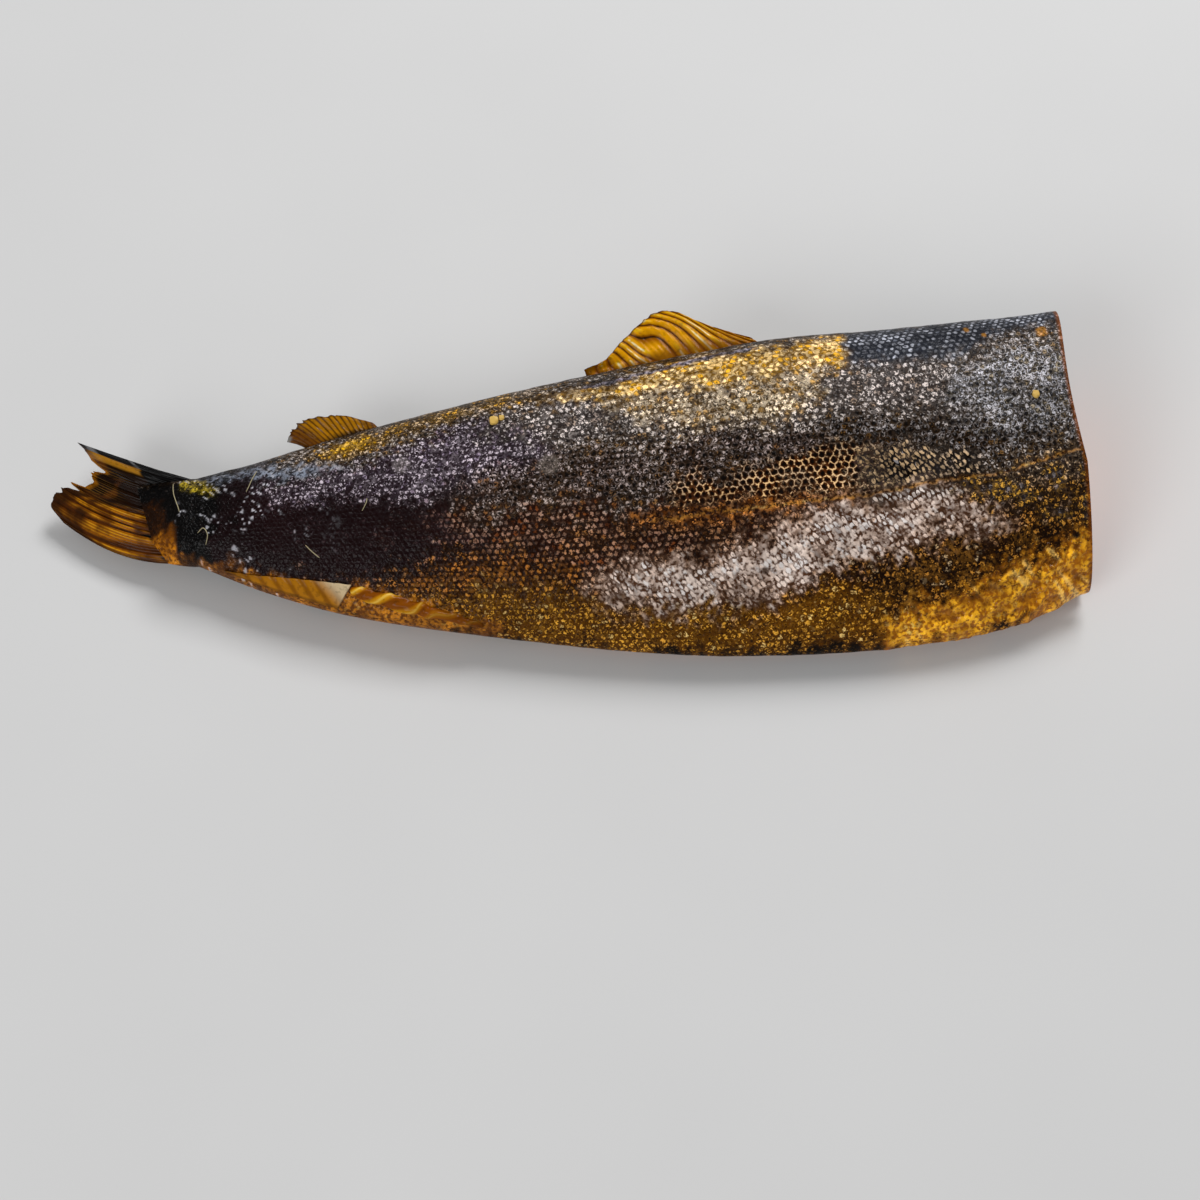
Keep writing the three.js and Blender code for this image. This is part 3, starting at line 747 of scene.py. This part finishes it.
def skin_grid():
    """x, v, w and the way round from the lateral line, over the whole skin"""
    fine = np.linspace(0, 1, FINE_STEPS)
    slit = math.radians(SLIT_ANGLE)
    turn = math.radians(BACK_ANGLE)
    rows = []
    for x in stations:
        gap = SLIT_HALF_WIDTH * opening(x) / section(x)[2]
        past = max(ROOT_X - x, 0) / ROOT_LENGTH[1]
        across, flat = 1 - 0.08 * past ** 2, max(1 - past ** 2, 0) ** 1.3
        angles = mix(slit - gap, slit + gap - 2 * math.pi, fine)
        v, w = skin(x, angles, across, flat)
        girth = np.concatenate([[0], np.cumsum(np.hypot(np.diff(v), np.diff(w)))])
        share = girth / girth[-1]
        split = np.interp(-turn, -angles, share)
        chosen = np.concatenate([np.linspace(0, split, UPPER_COLUMNS),
                                 np.linspace(split, 1, LOWER_COLUMNS + 1)[1:]])
        angle = np.interp(chosen, share, angles)
        line_v = np.interp(x, *zip(*LATERAL))
        back = section(x)[0] if line_v > 0 else section(x)[1]
        line_angle = math.acos(np.clip(line_v / back, -1, 1))
        line_girth = np.interp(-line_angle, -angles, girth)
        v, w = skin(x, angle, across, flat)
        length = mix(*ROOT_LENGTH, (1 + np.cos(angle)) / 2)
        row_x = np.full(len(angle), x) if past == 0 else ROOT_X - past * length
        rows.append((row_x, v, w, np.interp(chosen, share, girth) - line_girth, angle))
    return [np.array(column) for column in zip(*rows)]


def skin_relief(x, v):
    """How far the skin stands out beyond the plain body, in mm. v runs on over the back."""
    line = np.interp(x, *zip(*LATERAL))
    groove = np.exp(-((v - line) / 1.3) ** 2) * smooth(x, -60, 0)
    lumps = clouds(x, v, 22, 41) - 0.5
    dents = clouds(x, v, 7, 43) - 0.5
    folds = band_mask(WRINKLED, x, v, v) * (1.5 * wrinkles(x, v) - 0.9)
    return 0.8 * lumps + 0.45 * dents - 0.55 * groove + folds - 0.25


def make_skin():
    x, v, w, girth, angle = skin_grid()
    flat = place(x, v, w)
    normal = grid_normals(flat)
    around = np.where(angle < 0, 2 * section(x)[0] - v, v)
    relief = skin_relief(x, around) * smooth(x, ROOT_X - 6, ROOT_X + 10)
    relief *= smooth(CUT_X - x, -1, 6) * smooth(flat[..., 2], 0.0005, 0.004)
    relief *= smooth(np.abs(math.radians(SLIT_ANGLE) - angle), 0.02, 0.12)
    relief *= smooth(np.abs(math.radians(SLIT_ANGLE) - 2 * math.pi - angle), 0.02, 0.12)
    points = flat + normal * relief[..., None] / 1000
    points[..., 2] = np.maximum(points[..., 2], 0)
    normal = grid_normals(points)
    pitch = np.interp(x, *zip(*PITCH))
    strides = np.concatenate([[0], np.diff(stations)])
    lengths = np.cumsum(strides / np.interp(stations, *zip(*PITCH)))
    u_map = np.broadcast_to(lengths[:, None], x.shape) + ROW_SLANT * girth / pitch
    v_map = girth / (ROW_GAP * pitch)
    (dark, light, odd), (share, net, plates, grain, base, gloss, slant) = paint_skin(x, v, around)
    scale_mix = np.stack([share, net, plates, slant], -1)
    film_mix = np.stack([grain, base, gloss], -1)
    rows = len(stations) - 1
    for part, start, stop in SKIN_PARTS:
        first, last = round(start * rows), round(stop * rows) + 1
        for side, columns in (("upper", slice(0, UPPER_COLUMNS)),
                              ("lower", slice(UPPER_COLUMNS - 1, None))):
            own = (slice(first, last), columns)
            piece, i, j = laid_grid(f"{side}_skin_{part}", points[own], normal[own])
            give_uv(piece, i, j, u_map[own], v_map[own])
            give_colours(piece, i, j, dark_colour=dark[own], light_colour=light[own],
                         odd_colour=odd[own], scale_mix=scale_mix[own], film_mix=film_mix[own])
            on_fish(piece, SKIN)


make_skin()


# Fins

def pleats(fin, u, t, seed):
    """How far across its pleat a place is, from 0 in one furrow to 1 in the next"""
    strayed = t + fin["stray"] * (noise(t * 40, u * 9, 6, seed) - 0.5) + fin["lean"] * u * (1 - t)
    return (fin["rays"] * strayed) % 1


def crest(across):
    """A rounded pleat whose top is nearer its far side"""
    return np.sin(np.pi * across ** 1.3)


def fin_sheet(fin, u, t, seed):
    root, tip = along(fin["root"], t), along(fin["tips"], t)
    start, stop = fin["torn"]
    torn = 0.15 + 0.85 * smooth(t, start - 0.08, start + 0.06) * (1 - smooth(t, stop - 0.03, stop))
    notch = np.clip(ridges(t * 60, t * 0, 5, seed), 0, 1)
    reach = u * (1 - fin["ragged"] * torn * (1 - notch) * smooth(u, 0.5, 1))
    arch = 4 * reach * (1 - reach) * mix(*fin["bow"], t)
    grow = smooth(reach, 0, 0.4)
    wave = fin["ripple"] * (1.6 * crest(pleats(fin, u, t, seed)) ** 0.7 - 1)
    sway = 3 * noise(t * 40, u * 6, 3, seed)
    wave += fin["fine"] * np.sin(2 * np.pi * fin["fine_rays"] * t + sway)
    wave += 1.6 * (clouds(u * 40, t * 60, 14, seed + 1) - 0.5)
    x = mix(root[..., 0], tip[..., 0], reach)
    v = mix(root[..., 1], tip[..., 1], reach) + arch
    return x, v, along(fin["lift"], t)[..., 0] * reach + wave * grow


def fin_thickness(fin, u, t):
    edge = smooth(t, 0, 0.06) * (1 - smooth(t, 0.96, 1))
    return mix(fin["edge"], mix(fin["thick"][0], fin["thick"][1], np.minimum(2.2 * u, 1)), edge)


def plate(name, sheet, thickness, colour, rows, columns):
    """A thin closed plate, painted alike on both faces"""
    u = np.concatenate([np.linspace(0, 1, rows), [1.0]])
    t = np.concatenate([np.linspace(0, 1, columns), np.linspace(1, 0, columns), [0]])
    side = np.concatenate([np.ones(columns), -np.ones(columns), [1]])
    u, t = spread(u, t)
    side = np.broadcast_to(side, u.shape).copy()
    side[-1] = 0
    x, v, w = sheet(u, t)
    points = place(x, v, w + side * thickness(u, t) / 2)
    points[..., 2] = np.maximum(points[..., 2], 0.0002)
    piece, i, j = laid_grid(name, points)
    give_colours(piece, i, j, fin_colour=colour(u, t))
    close_seams(piece)
    on_fish(piece, FIN)


def coats(like, base, *layers):
    """A colour over the whole piece, and others over it where their masks say"""
    colour = np.broadcast_to(srgb(*base), like.shape + (3,))
    for over, mask in layers:
        colour = mix(colour, srgb(*over), np.clip(mask, 0, 1)[..., None])
    return colour


TAIL_SHADE = 0.78


def tail_colour(u, t):
    ray = crest(pleats(TAIL_FIN, u, t, 71))
    sway = 2 * noise(t * 40, u * 9, 4, 8)
    fine = 0.5 + 0.5 * np.sin(2 * np.pi * TAIL_FIN["fine_rays"] * t + sway)
    blotch = clouds(u * 90, t * 60, 13, 9)
    edge = 0.44 + 0.16 * (clouds(u * 90, t * 60, 20, 13) - 0.5)
    web = smooth(t, edge - 0.04, edge + 0.05) * (1 - smooth(t, 0.87, 0.9))
    strip = smooth(t, 0.86, 0.88) * (1 - smooth(t, 0.915, 0.935)) * smooth(u, 0.35, 0.5)
    spike = smooth(t, 0.915, 0.935)
    wet_sheen = smooth(noise(u * 60, t * 90, 5, 19), 0.6, 0.8)
    colour = coats(
        u, (184, 110, 8),
        ((82, 40, 4), smooth(1 - ray, 0.3, 0.8)),
        ((228, 164, 30), smooth(ray * fine, 0.5, 0.9) * smooth(u, 0.2, 0.5)),
        ((92, 44, 4), smooth(blotch, 0.42, 0.6) * 0.85),
        ((46, 22, 4), smooth(blotch, 0.58, 0.68) * 0.8),
        ((60, 28, 4), smooth(1 - fine, 0.85, 1) * 0.5),
        ((34, 15, 4), web * (0.8 + 0.2 * smooth(u, 0, 0.5))),
        ((122, 66, 10), web * smooth(blotch, 0.56, 0.75) * 0.7),
        ((190, 140, 60), web * smooth(fine, 0.95, 1) * smooth(u, 0.6, 0.9) * 0.5),
        ((186, 116, 14), web * smooth(u, 0.94, 0.985) * 0.8),
        ((206, 142, 36), strip * (1 - smooth(u, 0.9, 1)) * 0.9),
        ((22, 19, 20), spike),
        # Painted highlight: a pale wet sheen on the black leading rays of the upper lobe
        ((170, 170, 172), spike * wet_sheen * 0.6),
        ((56, 28, 6), (1 - smooth(t, 0.004, 0.03)) * 0.8),
        ((60, 30, 6), smooth(u, 0.97, 1) * (1 - web) * 0.6))
    skin_end = 0.24 + 0.36 * t + 0.1 * (clouds(u * 90, t * 60, 9, 21) - 0.5)
    skin_end = skin_end + 0.4 * (clouds(t * 90, u * 5, 7, 23) - 0.5)
    skin_over = 1 - smooth(u, skin_end - 0.03, skin_end + 0.03)
    return mix(TAIL_SHADE * colour, srgb(10, 8, 8), skin_over[..., None])


def back_fin_colour(u, t):
    ray = crest(pleats(BACK_FIN, u, t, 72))
    glow = clouds(u * 40, t * 90, 12, 31)
    return coats(
        u, (222, 154, 2),
        ((150, 86, 2), smooth(1 - ray, 0.35, 0.85)),
        # Painted glow: brighter gold in patches on the pleats' crests
        ((238, 192, 30), smooth(ray, 0.8, 1) * smooth(glow, 0.4, 0.6) * 0.8),
        ((40, 22, 3), smooth(1 - ray, 0.84, 0.97) * 0.95),
        # Painted highlights: small pale spots on the pleats' crests
        ((255, 240, 190), smooth(ray, 0.93, 1) * smooth(glow, 0.6, 0.66)),
        ((128, 68, 4), smooth(t, 0.7, 0.95) * 0.7),
        ((60, 30, 4), smooth(u, 0.95, 1) * 0.95),
        ((150, 84, 4), (1 - smooth(t, 0.04, 0.25)) * 0.6),
        ((120, 66, 6), (1 - smooth(u, 0.2, 0.42)) * 0.75))


def fat_fin_colour(u, t):
    ray = 0.5 + 0.5 * np.sin(2 * np.pi * FAT_FIN["fine_rays"] * (t + 0.1 * u))
    return coats(
        u, (168, 112, 4),
        ((58, 28, 4), smooth(1 - ray, 0.5, 1) * 0.9),
        ((86, 44, 8), smooth(np.abs(t - 0.42), 0.2, 0.46) * 0.85),
        ((50, 28, 8), smooth(u, 0.9, 1) * 0.8),
        ((150, 150, 146), smooth(u, 0.85, 0.95) * smooth(t, 0.9, 0.96) * 0.8),
        ((18, 13, 10), (1 - smooth(u + 0.2 * t, 0.3, 0.5)) * 0.95))


def make_fan(name, fin, colour, seed, rows, columns):
    def thickness(u, t):
        return fin_thickness(fin, u, t) * (1 - 0.35 * smooth(u, 0.8, 1))

    plate(name, lambda u, t: fin_sheet(fin, u, t, seed), thickness, colour, rows, columns)


make_fan("tail_fin", TAIL_FIN, tail_colour, 71, 110, 190)
make_fan("back_fin", BACK_FIN, back_fin_colour, 72, 70, 220)
make_fan("fat_fin", FAT_FIN, fat_fin_colour, 73, 50, 110)


def vent_pleats(u, t, shift=0):
    return np.sin(2 * np.pi * VENT_FIN["rays"] * (t + VENT_FIN["slant"] * u) + shift)


def vent_sheet(u, t):
    rim = mix(*VENT_FIN["rim"], t)
    (left_x, left_v), (right_x, right_v) = VENT_FIN["top"]
    x = mix(rim, mix(left_x, right_x, t), u)
    v = mix(1 - section(rim)[1], mix(left_v, right_v, t), u)
    wave = 0.3 * vent_pleats(u, t) * smooth(u, 0, 0.3)
    return x, v, flank(x, v) + VENT_FIN["lift"] * u * t + wave


def vent_colour(u, t):
    ray = 0.5 + 0.5 * vent_pleats(u, t, 1)
    return coats(
        u, (174, 112, 8),
        ((122, 70, 6), smooth(1 - ray, 0.4, 1) * 0.7),
        ((214, 190, 150), smooth(t + 0.4 * u, 0.98, 1.25)),
        ((96, 58, 8), (1 - smooth(t, 0.0, 0.3)) * 0.6),
        ((60, 36, 10), (1 - smooth(u, 0.04, 0.14)) * 0.5))


plate("vent_fin", vent_sheet, lambda u, t: mix(VENT_FIN["thick"], VENT_FIN["edge"], u),
      vent_colour, 50, 110)


def make_fold():
    """The twisted fold of skin in front of the vent fin"""
    t, angle = spread(np.linspace(0, 1, 220), np.linspace(0, 2 * np.pi, 49))
    x = mix(FOLD["from"][0], FOLD["to"][0], t)
    v = mix(FOLD["from"][1], FOLD["to"][1], t)
    swell = mix(*FOLD["radius"], t) * (0.55 + 0.45 * np.sin(np.pi * t))
    twist = 2 * angle + 2 * np.pi * (FOLD["twists"] * t + 0.5 * noise(t * 60, t * 0, 9, 77))
    r = swell * (1 + FOLD["depth"] * np.cos(twist) + 0.05 * np.cos(3 * twist + 1))
    r = r * np.sqrt(np.clip(1 - (2 * t - 1) ** 40, 0, 1))
    points = place(x, v + r * np.cos(angle), flank(x, v) + r * np.sin(angle) - swell / 3)
    piece, i, j = laid_grid("vent_fold", points)
    strand = 0.5 + 0.5 * np.cos(twist)
    # Painted highlights: the twist's ridges lighter gold with pale tops, fading off towards the far
    # end
    ridge_light_fade = 1 - 0.8 * smooth(t, 0.25, 0.7)
    colour = coats(
        t, (130, 68, 4),
        ((206, 142, 14), smooth(strand, 0.4, 1) * ridge_light_fade),
        ((244, 206, 90), smooth(strand, 0.95, 1) * 0.7 * ridge_light_fade),
        ((80, 42, 6), smooth(t, 0.6, 1) * 0.6))
    give_colours(piece, i, j, fin_colour=colour)
    close_seams(piece)
    on_fish(piece, FIN)


make_fold()


# The cut and the gut cavity

def wall_points(x, k):
    """v and w of the cavity's wall. k runs from -1 at the lower lip over the roof to 1."""
    slit = math.radians(SLIT_ANGLE)
    slit_v, slit_w = skin(x, slit)
    roof = mix(slit_v, CAVITY_ROOF, opening(x))
    up = 1 - np.abs(k)
    swell = np.sin(np.pi * np.clip(up, 0, 1) ** 0.8) ** 0.8
    half = mix(SLIT_HALF_WIDTH, CAVITY_HALF_WIDTH, swell) * opening(x)
    return mix(slit_v, roof, up), mix(slit_w, 0, up) + np.sign(k) * half


def make_cavity():
    x, k = spread(np.linspace(VENT_X + 2, CUT_X, 150), np.linspace(-1, 1, 91))
    v, w = wall_points(x, k)
    piece, i, j = laid_grid("gut_cavity", place(x, v, w))
    rib = 0.5 + 0.5 * np.cos((x + 0.5 * v) * 2 * np.pi / 6.5)
    colour = coats(
        x, (232, 112, 34),
        ((250, 160, 90), smooth(rib, 0.8, 1) * 0.5),
        ((120, 40, 20), smooth(1 - np.abs(k), 0.86, 1) * 0.7),
        ((214, 176, 140), (1 - smooth(1 - np.abs(k), 0, 0.12)) * 0.6))
    give_colours(piece, i, j, flesh_colour=colour * (0.8 + 0.4 * clouds(x, v, 9, 81))[..., None])
    on_fish(piece, FLESH)


make_cavity()


def flesh_paint(v, w, depth):
    """The cut flesh: flakes in arcs on each side, the dark muscle and the skin round it"""
    side = np.abs(w)
    stray = 3 * (clouds(v, w, 14, 91) - 0.5)
    high = np.hypot((v - 44) / 1.6, side - 17) + stray
    low = np.hypot((v - 8) / 1.5, side - 20) + stray
    line = np.abs((np.where(v > 27, high, low) / 2.9) % 1 - 0.5) * 2
    broken = smooth(noise(v, w, 5, 97), 0.25, 0.6)
    septum = np.exp(-((w - 1.2 * (noise(v, v * 0, 9, 99) - 0.5)) / 0.6) ** 2) * smooth(v, 34, 40)
    level = np.exp(-((v - 27 + 0.9 * side) / 0.6) ** 2) * smooth(side, 8, 12)
    flap = smooth(27 - v, 0, 14) * (1 - 0.3 * smooth(clouds(v, w, 10, 101), 0.4, 0.6))
    streak = np.abs(((0.8 * v + 1.3 * side + stray) / 5.5) % 1 - 0.5) * 2
    pale = np.exp(-((v - 12) / 9) ** 2) * (1 - smooth(depth, 2, 8))
    dark = np.exp(-((v - 12) / 6) ** 2) * (1 - smooth(depth, 1, 4))
    top = smooth(v, 68, 82) * (1 - smooth(side, 3, 9))
    return coats(
        v, (255, 128, 14),
        ((255, 186, 110), smooth(line, 0.74, 0.98) * broken * 0.8),
        ((240, 96, 8), smooth(clouds(v, w, 12, 93), 0.4, 0.7) * 0.6),
        ((255, 214, 160), (septum + 0.6 * level) * 0.9),
        ((252, 152, 92), flap * 0.8),
        ((206, 92, 24), flap * smooth(streak, 0.86, 0.97) * 0.8),
        ((255, 196, 140), flap * (1 - smooth(streak, 0, 0.3)) * 0.4),
        ((238, 160, 140), pale * 0.8),
        ((150, 66, 56), dark * 0.6),
        ((246, 190, 160), top * 0.8),
        ((240, 206, 176), (1 - smooth(depth, 0.9, 1.8)) * 0.7),
        ((26, 18, 14), 1 - smooth(depth, 0.45, 0.8)))


def make_cut():
    levels, inwards = 261, 61
    slit = math.radians(SLIT_ANGLE)
    gap = SLIT_HALF_WIDTH / section(CUT_X)[2]
    angle = mix(slit - gap, slit + gap - 2 * math.pi, np.linspace(0, 1, 2 * levels - 1))
    v, w = skin(CUT_X, angle)
    slit_v = float(skin(CUT_X, slit)[0])
    up = np.clip((v - slit_v) / (CAVITY_ROOF - slit_v), 0, 1)
    k = np.where(angle > 0, 1, -1) * (1 - up)
    wall_v, wall_w = wall_points(np.full(len(v), CUT_X), k)
    above = v > CAVITY_ROOF
    in_v, in_w = np.where(above, v, wall_v), np.where(above, 0, wall_w)
    share = np.linspace(0, 1, inwards)[:, None]
    all_v, all_w = mix(v, in_v, share), mix(w, in_w, share)
    depth = np.hypot(all_v - v, all_w - w)
    points = place(CUT_X, all_v, all_w)
    flakes = 0.5 * (clouds(all_v, all_w, 7, 95) - 0.7) * smooth(depth, 0.5, 3)
    points[..., 0] += flakes * smooth(np.abs(all_w), 0, 2) / 1000
    piece, i, j = laid_grid("cut_flesh", points)
    give_colours(piece, i, j, flesh_colour=flesh_paint(all_v, all_w, depth))
    close_seams(piece)
    on_fish(piece, FLESH)


make_cut()


def make_backbone():
    r, angle = spread(np.linspace(1, 0, 30), np.linspace(0, 2 * np.pi, 49))
    squash = 1 + 0.06 * np.cos(3 * angle + 1)
    v = BACKBONE["v"] + BACKBONE["radius"] * r * squash * np.cos(angle)
    w = BACKBONE["radius"] * r * squash * np.sin(angle)
    points = place(CUT_X, v, w)
    dome = np.where(r > 0.97, -0.6, BACKBONE["proud"] * (0.35 + 0.6 * smooth(1 - r, 0, 0.3)
                                                         - 0.5 * smooth(1 - r, 0.75, 1)))
    points[..., 0] += (dome + 0.15 * np.cos(7 * angle) * r) / 1000
    piece, i, j = laid_grid("backbone", points)
    colour = coats(
        r, (250, 222, 186),
        ((196, 120, 80), smooth(r, 0.75, 1) * 0.7),
        ((190, 110, 84), (1 - smooth(r, 0.1, 0.25)) * 0.8))
    give_colours(piece, i, j, flesh_colour=colour)
    close_seams(piece)
    on_fish(piece, FLESH)


make_backbone()


# Crumbs and threads left on the skin

def plain_material(name, colour, rough):
    material, n, shader = new_material(name, Roughness=rough)
    where = n.add("ShaderNodeTexCoord").outputs["Object"]
    fine = n.noise(where, 6.0, 2.0)
    shade = n.blend(n.times(fine, 0.06), (*colour, 1), (0, 0, 0, 1))
    n.put(shader.inputs["Base Color"], shade)
    return material


CRUMB = plain_material("dried crumb", (0.72, 0.46, 0.1), 0.5)
THREAD = plain_material("dried thread", (0.42, 0.36, 0.2), 0.5)
CRUMBS = [(-34.5, 40.8, 2.6, 1.7), (-30.6, 42, 1.6, 1.2), (240.5, 34.1, 2.3, 1.5)]
THREAD_RADIUS = 0.22
THREADS = [
    [(-201, 30, 0), (-200, 22, 1.5), (-197.6, 14, 1.2), (-197, 11.5, 0)],
    [(-188, -1, 0), (-184.6, 0.5, 2.5), (-182.4, -3.2, 2.6), (-184, -7.4, 0)],
    [(-157, 30.6, 0), (-159.4, 25, 1), (-161, 21, 0.8), (-162.5, 18.3, 0)],
    [(-100.5, 6.7, 0), (-101, 4, 0.8), (-103.3, 0.3, 0)],
    [(-133, -13.5, 0), (-130, -17, 0.8), (-126, -20.6, 0)],
]


def make_crumbs():
    for number, (x, v, radius, height) in enumerate(CRUMBS, 1):
        bpy.ops.object.select_all(action="DESELECT")
        bpy.ops.mesh.primitive_ico_sphere_add(subdivisions=3, radius=1)
        piece = bpy.context.object
        piece.name = piece.data.name = f"crumb_{number}"
        unit = np.empty(len(piece.data.vertices) * 3)
        piece.data.vertices.foreach_get("co", unit)
        unit = unit.reshape(-1, 3)
        rough = 0.75 + 0.5 * noise(2 * unit[:, 0] + unit[:, 2], 2 * unit[:, 1], 0.8, 5 + number)
        unit = np.clip(unit * rough[:, None], -0.85, 0.85)
        points = place(x + radius * unit[:, 0], v + radius * unit[:, 1],
                       flank(x, v) + height * (0.5 + unit[:, 2]))
        piece.data.vertices.foreach_set("co", points.ravel())
        piece.data.update()
        on_fish(piece, CRUMB)


def make_threads():
    for number, knots in enumerate(THREADS, 1):
        table = [(share, *knot) for share, knot in zip(np.linspace(0, 1, len(knots)), knots)]
        t, angle = spread(np.linspace(0, 1, 40), np.linspace(0, 2 * np.pi, 9))
        x, v, lift = np.moveaxis(along(table, t), -1, 0)
        radius = THREAD_RADIUS * np.sqrt(np.clip(1 - (2 * t - 1) ** 8, 0, 1))
        sideways = np.gradient(x, axis=0), np.gradient(v, axis=0)
        length = np.maximum(np.hypot(*sideways), 1e-6)
        points = place(x - radius * np.cos(angle) * sideways[1] / length,
                       v + radius * np.cos(angle) * sideways[0] / length,
                       flank(np.maximum(x, ROOT_X), v) + lift + radius * np.sin(angle))
        piece, _, _ = laid_grid(f"thread_{number}", points)
        close_seams(piece)
        on_fish(piece, THREAD)


make_crumbs()
make_threads()


# The floor, the light and the camera

SOFTBOXES = [("back softbox", (1.1, 1.8, 2.3), 1.3, 66), ("low fill", (-2.0, -2.2, 1.9), 1.8, 52)]
ROOM_LIGHT = 0.26
FLOOR_SIZE = 8
FLOOR_DROP = 0.0003
CAMERA = {"turn": -4, "height": 62, "distance": 1.2, "target": (0.0164, -0.0448, 0), "lens": 70,
          "sensor": 36}


def make_floor():
    bpy.ops.object.select_all(action="DESELECT")
    bpy.ops.mesh.primitive_plane_add(size=FLOOR_SIZE)
    floor = bpy.context.object
    floor.name = "floor"
    floor.location.z = -FLOOR_DROP
    floor.data.materials.append(plain_material("pale floor", (0.7, 0.7, 0.7), 0.85))


def stand(name, data, spot, toward):
    """Puts a light or camera at a spot, looking toward another"""
    thing = bpy.data.objects.new(name, data)
    bpy.context.collection.objects.link(thing)
    thing.location = spot
    thing.rotation_euler = (Vector(spot) - Vector(toward)).to_track_quat("Z", "Y").to_euler()
    return thing


def make_light():
    world = bpy.data.worlds.new("studio")
    bpy.context.scene.world = world
    world.use_nodes = True
    sky = world.node_tree.nodes["Background"].inputs
    sky["Color"].default_value = (1, 1, 1, 1)
    sky["Strength"].default_value = ROOM_LIGHT
    for name, spot, size, power in SOFTBOXES:
        data = bpy.data.lights.new(name, "AREA")
        data.size, data.energy = size, power
        stand(name, data, spot, (0, 0, 0))


def make_camera():
    turn, height = math.radians(CAMERA["turn"]), math.radians(CAMERA["height"])
    away = Vector((math.sin(turn) * math.cos(height), -math.cos(turn) * math.cos(height),
                   math.sin(height)))
    data = bpy.data.cameras.new("camera")
    data.lens, data.sensor_width = CAMERA["lens"], CAMERA["sensor"]
    spot = Vector(CAMERA["target"]) + away * CAMERA["distance"]
    bpy.context.scene.camera = stand("camera", data, spot, CAMERA["target"])


make_floor()
make_light()
make_camera()
bpy.context.scene.view_settings.view_transform = "Standard"
